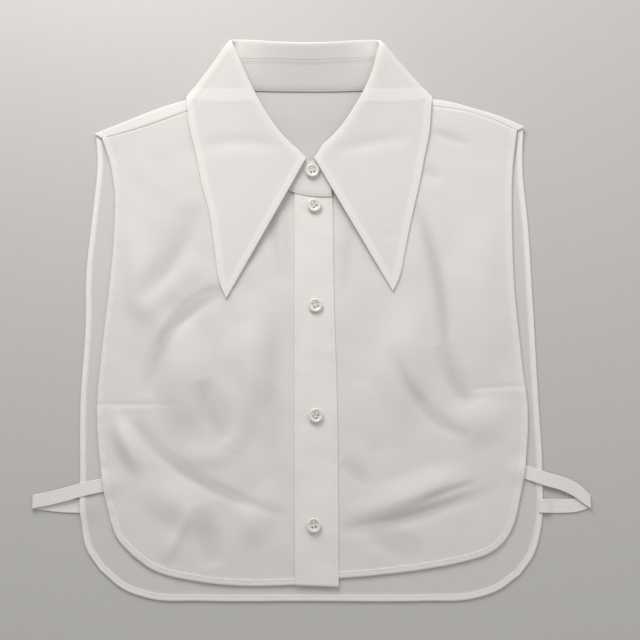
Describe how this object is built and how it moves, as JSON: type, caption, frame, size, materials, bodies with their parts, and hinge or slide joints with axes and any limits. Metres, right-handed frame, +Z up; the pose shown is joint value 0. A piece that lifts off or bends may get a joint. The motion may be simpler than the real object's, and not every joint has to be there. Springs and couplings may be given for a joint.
{
  "type": "detachable shirt collar",
  "caption": "Detachable shirt-front collar laid flat: long pointed leaf folded over a band, buttoned placket, hemmed fronts on a larger back panel, and folded elastic side straps.",
  "frame": {"origin": "middle of the laid-out piece in plan, on the surface it rests on (centre of the bounding box's base)", "axes": "+X across the garment towards the viewer's right, +Y from the hem to the collar, +Z up off the surface"},
  "size_m": [0.411, 0.4357, 0.0175],
  "materials": {
    "cotton": "thin plain-woven cotton, slightly sheer",
    "cotton_back": "single layer of the same cotton, greyer because the dark surface shows through",
    "collar_cotton": "two layers of the same cotton with interfacing, pressed",
    "shell": "pearly white",
    "elastic": "ribbed woven elastic"
  },
  "bodies": {
    "root": {"back_panel": "cotton_back", "front_left": "cotton", "front_right": "cotton", "placket": "cotton", "collar_band": "collar_cotton", "collar_leaf": "collar_cotton", "strap_left": "elastic", "strap_right": "elastic", "band_button": "shell", "button_1": "shell", "button_2": "shell", "button_3": "shell", "button_4": "shell"}
  },
  "joints": []
}
